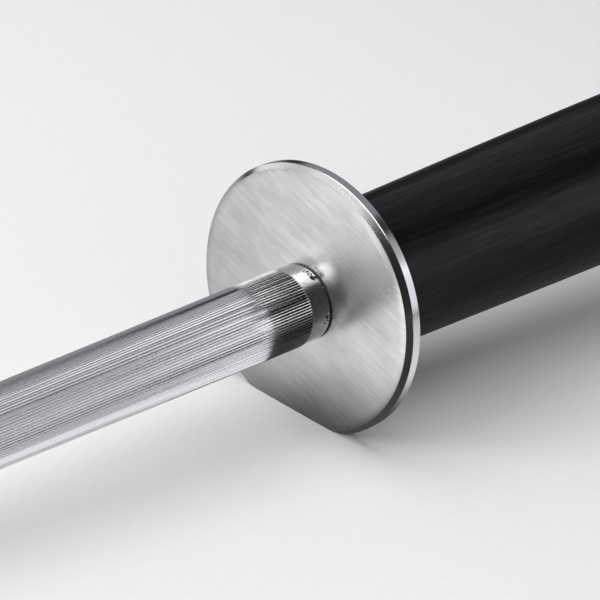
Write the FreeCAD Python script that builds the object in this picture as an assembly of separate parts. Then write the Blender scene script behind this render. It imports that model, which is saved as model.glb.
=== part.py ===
import FreeCAD, Part
import math
import os

# Knife sharpening steel, in millimetres.
# Frame: the origin is the centre of the guard's front face, on the rod's axis. +X runs along the rod to the tip,
# +Z is up and the flat on the guard's rim faces -Z. The grip lies on the -X side.

# Rod, in front of the guard
ROD_LENGTH = 230.0
ROD_R_GUARD = 6.50          # over the ribs, at the collar
ROD_R_TIP = 4.65            # over the ribs, where the tip starts to round
COLLAR_LENGTH = 4.4
COLLAR_R = 6.33
COLLAR_EDGE = 0.12          # small bevel where the collar meets the guard
RIB_COUNT = 90
RIB_DEPTH_SHARE = 1.0 - COLLAR_R / ROD_R_GUARD   # the grooves run out level with the collar

# Tang, behind the guard's front face, one piece with the rod
TANG_ROOT_R = 4.5
TANG_ROOT_FLAT = 3.5        # half the distance across the two flats
TANG_ROOT_LENGTH = 11.0
TANG_R = 3.5
TANG_THREAD_R = 3.0         # M6, drawn at its outer diameter
TANG_END_BEVEL = 0.6

# Guard
GUARD_R = 22.7
GUARD_T = 2.7
GUARD_FLAT_Z = 19.75        # distance from the axis to the flat
GUARD_BEVEL_X = 1.05
GUARD_BEVEL_R = 0.90
GUARD_BACK_EDGE = 0.15
GUARD_BORE_GAP = 0.05       # slip fit on the tang's root
PIN_R = 1.0
PIN_OFFSET = 9.3            # from the axis, along Y
PIN_IN_GUARD = 1.5
PIN_IN_GRIP = 5.5

# Grip
GRIP_LENGTH = 122.0
GRIP_BORE_R = 3.7
GRIP_PROFILE = [            # distance behind the guard, radius
    (0.0, 12.10),
    (30.0, 12.93),
    (60.0, 13.70),
    (88.0, 14.20),
    (108.0, 13.95),
    (117.0, 13.30),
]
GRIP_BUTT_R = 12.3
GRIP_BUTT_BULGE = 0.55      # how far the butt's rounding stands out from a straight bevel
FRONT_BUSH_R = 6.0
FRONT_BUSH_LENGTH = 14.0
GASKET_R = 6.8
GASKET_T = 1.0
BUTT_COUNTERBORE_R = 8.5
BUTT_COUNTERBORE_DEPTH = 18.0
REAR_BUSH_R = 5.5
REAR_BUSH_LENGTH = 12.0
BUSH_GAP = 0.05

# Washer, spring washer and nut on the tang's thread
WASHER_R = 8.0
WASHER_T = 1.5
SPRING_WASHER_R = 5.9
SPRING_WASHER_T = 1.6
SPRING_WASHER_SPLIT = 0.9
NUT_ACROSS_FLATS = 10.0
NUT_HEIGHT = 5.0
THREAD_STANDS_OUT = 1.7
WASHER_HOLE_GAP = 0.2

# Butt cap, its gasket and screws
BUTT_GASKET_T = 0.5
CAP_R = 12.1
CAP_T = 2.8
CAP_EDGE_R = 1.2
CAP_WALL = 2.3
CAP_SPIGOT_LENGTH = 6.5
CAP_FLOOR_STEP = 0.2        # the cavity goes this much deeper than the flange's inner face
SCREW_COUNT = 3
SCREW_CIRCLE_R = 10.25
SCREW_R = 0.8
SCREW_HEAD_R = 1.5
SCREW_LENGTH = 9.0
SCREW_SLOT_W = 0.45
SCREW_SLOT_DEPTH = 0.4

# Swivel eye, its washer and clip, and the hanging ring
EYE_POST_R = 2.5
EYE_BORE_GAP = 0.06         # running fit in the cap
EYE_COLLAR_R = 4.2
EYE_COLLAR_T = 1.2
EYE_END_PLAY = 0.2
EYE_LUG_R = 4.0
EYE_LUG_T = 3.2
EYE_HOLE_R = 1.5
EYE_HOLE_EDGE = 0.3
SWIVEL_WASHER_R = 4.6
SWIVEL_WASHER_T = 0.8
SWIVEL_WASHER_PLAY = 0.15
CLIP_R = 4.2
CLIP_T = 0.7
CLIP_GROOVE_R = 1.9
CLIP_MOUTH = 3.0
POST_END_LENGTH = 1.75      # how far the post stands in past the clip
RING_MEAN_R = 8.0
RING_WIRE_R = 1.1

# Places along X that follow from the sizes above
GUARD_BACK_X = -GUARD_T
BUTT_X = GUARD_BACK_X - GRIP_LENGTH
COUNTERBORE_X = BUTT_X + BUTT_COUNTERBORE_DEPTH
WASHER_BACK_X = COUNTERBORE_X - WASHER_T
SPRING_BACK_X = WASHER_BACK_X - SPRING_WASHER_T
NUT_BACK_X = SPRING_BACK_X - NUT_HEIGHT
TANG_END_X = NUT_BACK_X - THREAD_STANDS_OUT
CAP_INNER_X = BUTT_X - BUTT_GASKET_T
CAP_BACK_X = CAP_INNER_X - CAP_T
CAVITY_FLOOR_X = CAP_INNER_X - CAP_FLOOR_STEP
EYE_COLLAR_X = CAP_BACK_X - EYE_END_PLAY
EYE_LUG_X = EYE_COLLAR_X - EYE_COLLAR_T - EYE_LUG_R
SWIVEL_WASHER_X = CAVITY_FLOOR_X + SWIVEL_WASHER_PLAY
CLIP_X = SWIVEL_WASHER_X + SWIVEL_WASHER_T
POST_END_X = CLIP_X + CLIP_T + POST_END_LENGTH

X_AXIS = FreeCAD.Vector(1, 0, 0)
Y_AXIS = FreeCAD.Vector(0, 1, 0)
AXIS_POINT = FreeCAD.Vector(0, 0, 0)


def rod_along_x(x_low, x_high, radius):
    """Solid round bar on the X axis between two X places."""
    return Part.makeCylinder(radius, x_high - x_low, FreeCAD.Vector(x_low, 0, 0), X_AXIS)


def ring_along_x(x_low, x_high, outer_r, inner_r):
    """Flat washer or sleeve on the X axis."""
    return rod_along_x(x_low, x_high, outer_r).cut(rod_along_x(x_low - 1, x_high + 1, inner_r))


def turned(outline):
    """Solid turned about the X axis from a closed outline of (x, radius) points."""
    points = [FreeCAD.Vector(x, 0, r) for x, r in outline]
    wire = Part.makePolygon(points + points[:1])
    return Part.Face(wire).revolve(AXIS_POINT, X_AXIS, 360)


def cut_double_d(x_low, x_high, radius, half_flat):
    """Round bar with two flats, above and below the axis, on the X axis."""
    bar = rod_along_x(x_low, x_high, radius)
    slab = Part.makeBox(x_high - x_low, 2 * radius, 2 * half_flat, FreeCAD.Vector(x_low, -radius, -half_flat))
    return bar.common(slab)


def rib_outline(x, crest_r):
    """Closed outline of the ribbed section at one place: a crest and a groove for each rib."""
    root_r = crest_r * (1.0 - RIB_DEPTH_SHARE)
    points = []
    for step in range(2 * RIB_COUNT):
        angle = math.pi * step / RIB_COUNT
        radius = crest_r if step % 2 == 0 else root_r
        points.append(FreeCAD.Vector(x, radius * math.cos(angle), radius * math.sin(angle)))
    return Part.makePolygon(points + points[:1])


def ribbed_length():
    """The tapered, ribbed length of the rod with its rounded tip."""
    slope = (ROD_R_TIP - ROD_R_GUARD) / (ROD_LENGTH - ROD_R_TIP - COLLAR_LENGTH)
    end_r = ROD_R_GUARD + slope * (ROD_LENGTH - COLLAR_LENGTH)
    outlines = [rib_outline(COLLAR_LENGTH, ROD_R_GUARD), rib_outline(ROD_LENGTH, end_r)]
    ribs = Part.makeLoft(outlines, True, True)
    dome_x = ROD_LENGTH - ROD_R_TIP
    low_x = COLLAR_LENGTH - 1.0
    quarter = math.sqrt(0.5)
    corner_r = 2 * ROD_R_GUARD
    start = FreeCAD.Vector(low_x, 0, 0)
    lip = FreeCAD.Vector(low_x, 0, corner_r)
    shoulder = FreeCAD.Vector(dome_x, 0, corner_r)
    dome_start = FreeCAD.Vector(dome_x, 0, ROD_R_TIP)
    dome_mid = FreeCAD.Vector(dome_x + ROD_R_TIP * quarter, 0, ROD_R_TIP * quarter)
    tip = FreeCAD.Vector(ROD_LENGTH, 0, 0)
    edges = [
        Part.makeLine(start, lip),
        Part.makeLine(lip, shoulder),
        Part.makeLine(shoulder, dome_start),
        Part.Arc(dome_start, dome_mid, tip).toShape(),
        Part.makeLine(tip, start),
    ]
    envelope = Part.Face(Part.Wire(edges)).revolve(AXIS_POINT, X_AXIS, 360)
    return ribs.common(envelope)


def sharpening_rod():
    """Ribbed rod, collar and tang: one forging."""
    collar = turned([
        (0, 0),
        (0, COLLAR_R - COLLAR_EDGE),
        (COLLAR_EDGE, COLLAR_R),
        (COLLAR_LENGTH, COLLAR_R),
        (COLLAR_LENGTH, 0),
    ])
    root = cut_double_d(-TANG_ROOT_LENGTH, 0, TANG_ROOT_R, TANG_ROOT_FLAT)
    thread_start_x = COUNTERBORE_X + 1.0
    shank = turned([
        (-TANG_ROOT_LENGTH, 0),
        (-TANG_ROOT_LENGTH, TANG_R),
        (thread_start_x, TANG_R),
        (thread_start_x, TANG_THREAD_R),
        (TANG_END_X + TANG_END_BEVEL, TANG_THREAD_R),
        (TANG_END_X, TANG_THREAD_R - TANG_END_BEVEL),
        (TANG_END_X, 0),
    ])
    return ribbed_length().fuse([collar, root, shank]).removeSplitter()


def guard_disc():
    """Disc with a flat on its rim, a bevelled front edge, a double-D bore and two blind dowel holes."""
    disc = turned([
        (0, 0),
        (0, GUARD_R - GUARD_BEVEL_R),
        (-GUARD_BEVEL_X, GUARD_R),
        (GUARD_BACK_X + GUARD_BACK_EDGE, GUARD_R),
        (GUARD_BACK_X, GUARD_R - GUARD_BACK_EDGE),
        (GUARD_BACK_X, 0),
    ])
    below = Part.makeBox(4 * GUARD_T, 4 * GUARD_R, GUARD_R, FreeCAD.Vector(-2 * GUARD_T, -2 * GUARD_R,
                         -GUARD_FLAT_Z - GUARD_R))
    bore = cut_double_d(GUARD_BACK_X - 1, 1, TANG_ROOT_R + GUARD_BORE_GAP, TANG_ROOT_FLAT + GUARD_BORE_GAP)
    return disc.cut([below, bore] + [dowel(side, PIN_IN_GRIP) for side in (-1, 1)])


def dowel(side, length_in_grip):
    """Dowel between the guard and the grip, on the +Y or -Y side; the same shape drills its holes."""
    low_x = GUARD_BACK_X - length_in_grip
    start = FreeCAD.Vector(low_x, side * PIN_OFFSET, 0)
    return Part.makeCylinder(PIN_R, length_in_grip + PIN_IN_GUARD, start, X_AXIS)


def grip_blank():
    """Outer shape of the grip, turned: a long swelling curve and a rounded butt."""
    swell = [FreeCAD.Vector(GUARD_BACK_X - back, 0, r) for back, r in GRIP_PROFILE]
    butt_rim = FreeCAD.Vector(BUTT_X, 0, GRIP_BUTT_R)
    last = swell[-1]
    middle = (last + butt_rim) * 0.5 + FreeCAD.Vector(-GRIP_BUTT_BULGE, 0, GRIP_BUTT_BULGE)
    curve = Part.BSplineCurve()
    curve.interpolate(swell)
    front_centre = FreeCAD.Vector(GUARD_BACK_X, 0, 0)
    butt_centre = FreeCAD.Vector(BUTT_X, 0, 0)
    edges = [
        Part.makeLine(front_centre, swell[0]),
        curve.toShape(),
        Part.Arc(last, middle, butt_rim).toShape(),
        Part.makeLine(butt_rim, butt_centre),
        Part.makeLine(butt_centre, front_centre),
    ]
    return Part.Face(Part.Wire(edges)).revolve(AXIS_POINT, X_AXIS, 360)


def handle_grip():
    """Grip, bored for the tang and counterbored for the bushes, the gasket and the nut."""
    bush_floor_x = GUARD_BACK_X - GASKET_T - FRONT_BUSH_LENGTH
    cuts = [
        rod_along_x(BUTT_X - 1, GUARD_BACK_X + 1, GRIP_BORE_R),
        rod_along_x(GUARD_BACK_X - GASKET_T, GUARD_BACK_X + 1, GASKET_R),
        rod_along_x(bush_floor_x, GUARD_BACK_X, FRONT_BUSH_R),
        rod_along_x(COUNTERBORE_X, COUNTERBORE_X + REAR_BUSH_LENGTH, REAR_BUSH_R),
        rod_along_x(BUTT_X - 1, COUNTERBORE_X, BUTT_COUNTERBORE_R),
    ]
    cuts += [dowel(side, PIN_IN_GRIP) for side in (-1, 1)]
    cuts += [screw_blank(index) for index in range(SCREW_COUNT)]
    return grip_blank().cut(cuts)


def front_gasket():
    """Rubber washer in the grip's front recess, round the tang's root."""
    return ring_along_x(GUARD_BACK_X - GASKET_T, GUARD_BACK_X, GASKET_R, TANG_ROOT_R + WASHER_HOLE_GAP)


def front_bush():
    """Brass bush with a wide bore for the tang's root and a narrow one for its shank."""
    front_x = GUARD_BACK_X - GASKET_T
    bush = rod_along_x(front_x - FRONT_BUSH_LENGTH, front_x, FRONT_BUSH_R)
    wide = rod_along_x(-TANG_ROOT_LENGTH - BUSH_GAP, front_x + 1, TANG_ROOT_R + BUSH_GAP)
    narrow = rod_along_x(front_x - FRONT_BUSH_LENGTH - 1, front_x, TANG_R + BUSH_GAP)
    return bush.cut([wide, narrow])


def rear_bush():
    """Brass bush at the bottom of the butt's counterbore."""
    return ring_along_x(COUNTERBORE_X, COUNTERBORE_X + REAR_BUSH_LENGTH, REAR_BUSH_R, TANG_R + BUSH_GAP)


def tang_washer():
    """Wide flat washer that spreads the nut's load over the counterbore's floor."""
    return ring_along_x(WASHER_BACK_X, COUNTERBORE_X, WASHER_R, TANG_THREAD_R + WASHER_HOLE_GAP)


def spring_washer():
    """Split spring washer, drawn flattened as it is under a tight nut."""
    ring = ring_along_x(SPRING_BACK_X, WASHER_BACK_X, SPRING_WASHER_R, TANG_THREAD_R + WASHER_HOLE_GAP)
    corner = FreeCAD.Vector(SPRING_BACK_X - 1, -SPRING_WASHER_SPLIT / 2, 0)
    split = Part.makeBox(SPRING_WASHER_T + 2, SPRING_WASHER_SPLIT, SPRING_WASHER_R + 1, corner)
    split.rotate(FreeCAD.Vector((SPRING_BACK_X + WASHER_BACK_X) / 2, 0, 0), FreeCAD.Vector(0, 0, 1), 30)
    return ring.cut(split)


def tang_nut():
    """Hexagon nut with its corners turned off on both faces."""
    corner_r = NUT_ACROSS_FLATS / 2 / math.cos(math.pi / 6)
    corners = []
    for step in range(6):
        angle = math.pi / 3 * step
        corners.append(FreeCAD.Vector(NUT_BACK_X, corner_r * math.cos(angle), corner_r * math.sin(angle)))
    prism = Part.Face(Part.makePolygon(corners + corners[:1])).extrude(X_AXIS * NUT_HEIGHT)
    flat_r = NUT_ACROSS_FLATS / 2 - 0.1
    bevel = (corner_r - flat_r) * math.tan(math.pi / 6)
    turning = turned([
        (NUT_BACK_X, 0),
        (NUT_BACK_X, flat_r),
        (NUT_BACK_X + bevel, corner_r),
        (SPRING_BACK_X - bevel, corner_r),
        (SPRING_BACK_X, flat_r),
        (SPRING_BACK_X, 0),
    ])
    return prism.common(turning).cut(rod_along_x(NUT_BACK_X - 1, SPRING_BACK_X + 1, TANG_THREAD_R))


def butt_gasket():
    """Thin gasket between the butt and the cap's flange."""
    gasket = ring_along_x(CAP_INNER_X, BUTT_X, CAP_R - 0.3, BUTT_COUNTERBORE_R)
    return gasket.cut([screw_blank(index) for index in range(SCREW_COUNT)])


def butt_cap():
    """Cap with a rounded rim, a hollow spigot that fills the counterbore's mouth and a bore for the swivel."""
    quarter = math.sqrt(0.5)
    round_centre_x = CAP_BACK_X + CAP_EDGE_R
    round_centre_r = CAP_R - CAP_EDGE_R
    rim_mid = FreeCAD.Vector(round_centre_x - CAP_EDGE_R * quarter, 0, round_centre_r + CAP_EDGE_R * quarter)
    rim_start = FreeCAD.Vector(round_centre_x, 0, CAP_R)
    rim_end = FreeCAD.Vector(CAP_BACK_X, 0, round_centre_r)
    inner_rim = FreeCAD.Vector(CAP_INNER_X, 0, CAP_R)
    inner_centre = FreeCAD.Vector(CAP_INNER_X, 0, 0)
    back_centre = FreeCAD.Vector(CAP_BACK_X, 0, 0)
    edges = [
        Part.makeLine(inner_centre, inner_rim),
        Part.makeLine(inner_rim, rim_start),
        Part.Arc(rim_start, rim_mid, rim_end).toShape(),
        Part.makeLine(rim_end, back_centre),
        Part.makeLine(back_centre, inner_centre),
    ]
    flange = Part.Face(Part.Wire(edges)).revolve(AXIS_POINT, X_AXIS, 360)
    spigot_end_x = CAP_INNER_X + CAP_SPIGOT_LENGTH
    spigot = rod_along_x(CAP_INNER_X, spigot_end_x, BUTT_COUNTERBORE_R)
    cavity = rod_along_x(CAVITY_FLOOR_X, spigot_end_x + 1, BUTT_COUNTERBORE_R - CAP_WALL)
    bore = rod_along_x(CAP_BACK_X - 1, CAVITY_FLOOR_X + 1, EYE_POST_R + EYE_BORE_GAP)
    cuts = [cavity, bore] + [screw_blank(index) for index in range(SCREW_COUNT)]
    return flange.fuse(spigot).cut(cuts).removeSplitter()


def screw_blank(index):
    """Countersunk screw without its slot, flush with the cap's back; the same shape cuts its hole."""
    head_depth = SCREW_HEAD_R - SCREW_R
    blank = turned([
        (CAP_BACK_X, 0),
        (CAP_BACK_X, SCREW_HEAD_R),
        (CAP_BACK_X + head_depth, SCREW_R),
        (CAP_BACK_X + SCREW_LENGTH - SCREW_R, SCREW_R),
        (CAP_BACK_X + SCREW_LENGTH, 0),
    ])
    blank.translate(FreeCAD.Vector(0, 0, SCREW_CIRCLE_R))
    blank.rotate(AXIS_POINT, X_AXIS, 360 / SCREW_COUNT * index)
    return blank


def cap_screw(index):
    """One of the cap's screws, with a slot across its head."""
    size = FreeCAD.Vector(SCREW_SLOT_DEPTH, 4 * SCREW_HEAD_R, SCREW_SLOT_W)
    corner = FreeCAD.Vector(CAP_BACK_X, -2 * SCREW_HEAD_R, SCREW_CIRCLE_R - SCREW_SLOT_W / 2)
    slot = Part.makeBox(size.x, size.y, size.z, corner)
    slot.rotate(FreeCAD.Vector(0, 0, SCREW_CIRCLE_R), X_AXIS, 40 * index + 15)
    slot.rotate(AXIS_POINT, X_AXIS, 360 / SCREW_COUNT * index)
    return screw_blank(index).cut(slot)


def lug_along_y(radius, thickness):
    """Disc across Y at the ring's pivot: the eye's rounded end, or the hole in it."""
    start = FreeCAD.Vector(EYE_LUG_X, -thickness / 2, 0)
    return Part.makeCylinder(radius, thickness, start, Y_AXIS)


def swivel_eye():
    """Eye on a grooved post that turns in the cap."""
    post = rod_along_x(EYE_COLLAR_X, POST_END_X, EYE_POST_R)
    groove = ring_along_x(CLIP_X, CLIP_X + CLIP_T, EYE_POST_R + 1, CLIP_GROOVE_R)
    collar = rod_along_x(EYE_COLLAR_X - EYE_COLLAR_T, EYE_COLLAR_X, EYE_COLLAR_R)
    neck_corner = FreeCAD.Vector(EYE_LUG_X, -EYE_LUG_T / 2, -EYE_LUG_R)
    neck_length = EYE_COLLAR_X - EYE_COLLAR_T - EYE_LUG_X
    neck = Part.makeBox(neck_length, EYE_LUG_T, 2 * EYE_LUG_R, neck_corner)
    lug = lug_along_y(EYE_LUG_R, EYE_LUG_T)
    hole = lug_along_y(EYE_HOLE_R, EYE_LUG_T + 2)
    mouths = []
    for side in (-1, 1):
        start = FreeCAD.Vector(EYE_LUG_X, side * (EYE_LUG_T / 2 - EYE_HOLE_EDGE), 0)
        mouths.append(Part.makeCone(EYE_HOLE_R, EYE_HOLE_R + 2 * EYE_HOLE_EDGE, 2 * EYE_HOLE_EDGE, start,
                                    Y_AXIS * side))
    return post.cut(groove).fuse([collar, neck, lug]).removeSplitter().cut([hole] + mouths)


def swivel_washer():
    """Washer between the clip and the cap's inner face."""
    inner_r = EYE_POST_R + EYE_BORE_GAP
    return ring_along_x(SWIVEL_WASHER_X, SWIVEL_WASHER_X + SWIVEL_WASHER_T, SWIVEL_WASHER_R, inner_r)


def swivel_clip():
    """Open clip that snaps into the post's groove."""
    ring = ring_along_x(CLIP_X, CLIP_X + CLIP_T, CLIP_R, CLIP_GROOVE_R)
    mouth = Part.makeBox(CLIP_T, CLIP_MOUTH, CLIP_R + 1, FreeCAD.Vector(CLIP_X, -CLIP_MOUTH / 2, 0))
    return ring.cut(mouth)


def hanging_ring():
    """Closed wire ring through the eye, hanging straight down."""
    centre = FreeCAD.Vector(EYE_LUG_X, 0, -RING_MEAN_R)
    return Part.makeTorus(RING_MEAN_R, RING_WIRE_R, centre, X_AXIS)


def all_pieces():
    """Every separate piece of the steel, by node name."""
    pieces = {
        "sharpening_rod": sharpening_rod(),
        "guard_disc": guard_disc(),
        "guard_pin_1": dowel(-1, PIN_IN_GRIP),
        "guard_pin_2": dowel(1, PIN_IN_GRIP),
        "front_gasket": front_gasket(),
        "front_bush": front_bush(),
        "handle_grip": handle_grip(),
        "rear_bush": rear_bush(),
        "tang_washer": tang_washer(),
        "spring_washer": spring_washer(),
        "tang_nut": tang_nut(),
        "butt_gasket": butt_gasket(),
        "butt_cap": butt_cap(),
        "swivel_eye": swivel_eye(),
        "swivel_washer": swivel_washer(),
        "swivel_clip": swivel_clip(),
        "hanging_ring": hanging_ring(),
    }
    for index in range(SCREW_COUNT):
        pieces["cap_screw_%d" % (index + 1)] = cap_screw(index)
    return pieces


def main():
    """Write one STEP file for each piece."""
    os.makedirs("parts", exist_ok=True)
    for node, shape in all_pieces().items():
        solid = shape.Solids[0]
        solid.exportStep("parts/%s.step" % node)
        print("%-16s valid %s, solids %d, volume %9.2f mm3" % (node, solid.isValid(), len(shape.Solids),
                                                                solid.Volume))


main()
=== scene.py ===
"""Looks of a knife sharpening steel: ribbed rod, disc guard, black grip, butt cap, swivel eye and ring.

Everything is in metres in the frame's own axes: the origin is the centre of the guard's front face, +X runs
along the rod to its tip, +Z is up and the flat on the guard's rim faces -Z.
"""
import logging
import math
import random
from dataclasses import dataclass, field
from enum import Enum, IntEnum

import bmesh
import bpy
from mathutils import Matrix, Vector


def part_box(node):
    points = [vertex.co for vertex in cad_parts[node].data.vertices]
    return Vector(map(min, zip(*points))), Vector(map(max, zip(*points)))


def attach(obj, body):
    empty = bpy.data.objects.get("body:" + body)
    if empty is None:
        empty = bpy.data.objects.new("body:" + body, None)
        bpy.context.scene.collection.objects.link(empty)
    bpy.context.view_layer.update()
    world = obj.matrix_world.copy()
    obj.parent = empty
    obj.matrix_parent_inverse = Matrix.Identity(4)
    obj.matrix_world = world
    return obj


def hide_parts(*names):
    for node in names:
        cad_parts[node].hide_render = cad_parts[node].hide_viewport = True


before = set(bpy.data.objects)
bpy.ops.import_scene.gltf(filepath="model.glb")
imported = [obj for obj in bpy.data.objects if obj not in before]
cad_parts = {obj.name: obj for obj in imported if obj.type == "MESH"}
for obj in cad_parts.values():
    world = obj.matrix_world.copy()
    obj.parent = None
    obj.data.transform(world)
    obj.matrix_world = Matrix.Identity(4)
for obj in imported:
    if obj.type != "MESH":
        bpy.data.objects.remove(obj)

LOG = logging.getLogger("sharpening_steel")
MM = 0.001
FULL_TURN = 2 * math.pi
TINY = 1e-7
GROOVE_SHADE_LAYER = "groove_shade"                                       # layer that says how much painted shade each point of the rod's grooves gets
ACROSS_GRAIN = "across_grain"                       # map whose first axis runs across the plate's brushing
FROM_NOISE = {"From Min": 0.3, "From Max": 0.7}     # nearly all values of a noise lie between these
Point = tuple[float, float]
Span = tuple[float, float]
Colour = tuple[float, float, float, float]


class Body(str, Enum):
    """Rigid bodies of the steel."""

    STEEL = "steel"
    SWIVEL = "swivel"
    RING = "ring"


class Grain(Enum):
    """How a metal surface was worked, which sets the way its highlight is drawn out."""

    TURNED = "turned"
    NONE = "none"


class RodSlot(IntEnum):
    """Finishes of the rod, in the order of its material slots."""

    RIBS = 0
    SMOOTH = 1
    GRIME = 2


class GuardSlot(IntEnum):
    """Finishes of the guard, in the order of its material slots."""

    FACE = 0
    RIM = 1


# ---- Small helpers ----

def srgb(code: str) -> Colour:
    """Turns an sRGB hex colour into linear RGBA.

    Args:
        code: six hex digits after a hash sign.

    Returns:
        The linear colour with alpha 1.
    """
    parts = [int(code[i:i + 2], 16) / 255 for i in (1, 3, 5)]
    red, green, blue = [p / 12.92 if p <= 0.04045 else ((p + 0.055) / 1.055) ** 2.4 for p in parts]
    return red, green, blue, 1.0


def grey(level: float) -> Colour:
    """Linear grey of one level."""
    return level, level, level, 1.0


def tone_stops(code: str, spread: float) -> list[tuple[float, Colour]]:
    """Stops of a ramp that varies one colour over a noise.

    Args:
        code: the middle colour.
        spread: how much darker and lighter it gets, as a share.

    Returns:
        The dark stop and the light stop.
    """
    red, green, blue, _ = srgb(code)
    dark, light = 1 - spread, 1 + spread
    return [(FROM_NOISE["From Min"], (red * dark, green * dark, blue * dark, 1)),
            (FROM_NOISE["From Max"], (min(1, red * light), min(1, green * light), min(1, blue * light), 1))]


def feed(tree: bpy.types.NodeTree, node: bpy.types.Node,
         links: dict[str | int, bpy.types.NodeSocket]) -> None:
    """Links output sockets to a node's input sockets.

    Args:
        tree: node tree that holds the node.
        node: the node that is fed.
        links: output sockets, by the input socket's name or number.
    """
    for name, socket in links.items():
        tree.links.new(socket, node.inputs[name])


def add_node(tree: bpy.types.NodeTree, kind: str, props: dict | None = None, values: dict | None = None,
             links: dict | None = None) -> bpy.types.Node:
    """Adds one shader node.

    Args:
        tree: node tree that gets the node.
        kind: the node's type name.
        props: the node's own settings, by name.
        values: fixed values of input sockets, by socket name or number.
        links: output sockets that feed input sockets, by socket name or number.

    Returns:
        The new node.
    """
    node = tree.nodes.new(kind)
    for name, value in (props or {}).items():
        setattr(node, name, value)
    for name, value in (values or {}).items():
        node.inputs[name].default_value = value
    feed(tree, node, links or {})
    return node


def set_ramp(node: bpy.types.Node, stops: list[tuple[float, Colour]]) -> None:
    """Gives a colour ramp node its stops.

    Args:
        node: the colour ramp node.
        stops: position and colour of each stop, in order.
    """
    elements = node.color_ramp.elements
    while len(elements) < len(stops):
        elements.new(1.0)
    for element, (place, colour) in zip(elements, stops):
        element.position = place
        element.color = colour


def drawn_out_noise(tree: bpy.types.NodeTree, place: bpy.types.NodeSocket, scale: tuple[float, float, float],
                    detail: float = 3.0, detail_share: float = 0.6) -> bpy.types.NodeSocket:
    """Noise that is longer one way than the other, as tool marks, brushing and pores are.

    Args:
        tree: the material's node tree.
        place: place on the surface, in metres.
        scale: how many patterns fit into a metre, along each axis of the place.
        detail: how many finer layers the noise has.
        detail_share: strength of each finer layer, as a share of the one before.

    Returns:
        The noise's value.
    """
    stretched = add_node(tree, "ShaderNodeMapping", values={"Scale": scale}, links={"Vector": place})
    noise = add_node(tree, "ShaderNodeTexNoise", values={"Scale": 1.0, "Detail": detail,
                                                        "Roughness": detail_share},
                     links={"Vector": stretched.outputs["Vector"]})
    return noise.outputs["Fac"]


def new_material(name: str) -> tuple[bpy.types.Material, bpy.types.NodeTree, bpy.types.Node]:
    """Makes an empty node material.

    Args:
        name: the material's name.

    Returns:
        The material, its node tree and its Principled shader, already joined to the output.
    """
    material = bpy.data.materials.new(name)
    material.use_nodes = True
    tree = material.node_tree
    tree.nodes.clear()
    shader = add_node(tree, "ShaderNodeBsdfPrincipled")
    add_node(tree, "ShaderNodeOutputMaterial", links={"Surface": shader.outputs["BSDF"]})
    return material, tree, shader


def object_from_bmesh(name: str, mesh: bmesh.types.BMesh, materials: list[bpy.types.Material],
                      smooth_angle: float = 30.0) -> bpy.types.Object:
    """Turns a bmesh into a linked object with smooth shading that breaks at sharp edges.

    Args:
        name: name of the piece.
        mesh: the geometry, which is freed.
        materials: the piece's material slots, in order.
        smooth_angle: edges sharper than this many degrees stay sharp.

    Returns:
        The new object.
    """
    bmesh.ops.recalc_face_normals(mesh, faces=mesh.faces)
    data = bpy.data.meshes.new(name)
    mesh.to_mesh(data)
    mesh.free()
    for material in materials:
        data.materials.append(material)
    data.shade_smooth()
    data.set_sharp_from_angle(angle=math.radians(smooth_angle))
    piece = bpy.data.objects.new(name, data)
    bpy.context.scene.collection.objects.link(piece)
    return piece


def join_loops(mesh: bmesh.types.BMesh, loops: list[list[bmesh.types.BMVert]], slots: list[int] | None = None,
               closed: bool = False) -> None:
    """Joins loops of equally many vertices with quads.

    Args:
        mesh: the bmesh that holds the vertices.
        loops: the vertices of each loop, all in the same order.
        slots: material slot of each band between two loops.
        closed: whether the last loop is joined to the first.
    """
    following = loops[1:] + loops[:1] if closed else loops[1:]
    for band, (low, high) in enumerate(zip(loops, following)):
        for i in range(len(low)):
            j = (i + 1) % len(low)
            face = mesh.faces.new((low[i], low[j], high[j], high[i]))
            face.material_index = slots[band] if slots else 0


def stack_rings(mesh: bmesh.types.BMesh, rings: list[list[Vector]], slots: list[int] | None = None,
                close_end: bool = True) -> list[list[bmesh.types.BMVert]]:
    """Joins rings of equally many points into a tube that starts with a flat end.

    Args:
        mesh: the bmesh that gets the tube.
        rings: points of each ring, all in the same order round the axis.
        slots: material slot of each band between two rings.
        close_end: fill the last ring with one face.

    Returns:
        The vertices of each ring.
    """
    made = [[mesh.verts.new(point) for point in ring] for ring in rings]
    join_loops(mesh, made, slots)
    mesh.faces.new(list(reversed(made[0]))).material_index = slots[0] if slots else 0
    if close_end:
        mesh.faces.new(made[-1]).material_index = slots[-1] if slots else 0
    return made


def circle_about_x(x: float, radius: float, count: int) -> list[Vector]:
    """Points of a circle round the X axis.

    Args:
        x: place along the axis.
        radius: the circle's radius.
        count: how many points.

    Returns:
        The points, in order.
    """
    turns = (FULL_TURN * i / count for i in range(count))
    return [Vector((x, radius * math.cos(a), radius * math.sin(a))) for a in turns]


def turned(mesh: bmesh.types.BMesh, outline: list[Point], count: int, slots: list[int] | None = None) -> None:
    """Adds a closed turned tube: a section that doesn't touch the axis, taken once round it.

    Args:
        mesh: the bmesh that gets the shape.
        outline: (x, radius) points of the closed section.
        count: points round the axis.
        slots: material slot of each band, the last one closing the outline.
    """
    loops = [[mesh.verts.new(point) for point in circle_about_x(x, r, count)] for x, r in outline]
    join_loops(mesh, loops, slots, closed=True)


def arc(centre: Point, radius: float, start: float, end: float, steps: int) -> list[Point]:
    """Points of an arc in the (x, radius) plane.

    Args:
        centre: the arc's centre.
        radius: the arc's radius.
        start: first angle in degrees, 0 along +X and 90 away from the axis.
        end: last angle in degrees.
        steps: how many steps the arc is cut into.

    Returns:
        The points, both ends included.
    """
    turns = [math.radians(start + (end - start) * i / steps) for i in range(steps + 1)]
    return [(centre[0] + radius * math.cos(a), centre[1] + radius * math.sin(a)) for a in turns]


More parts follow.
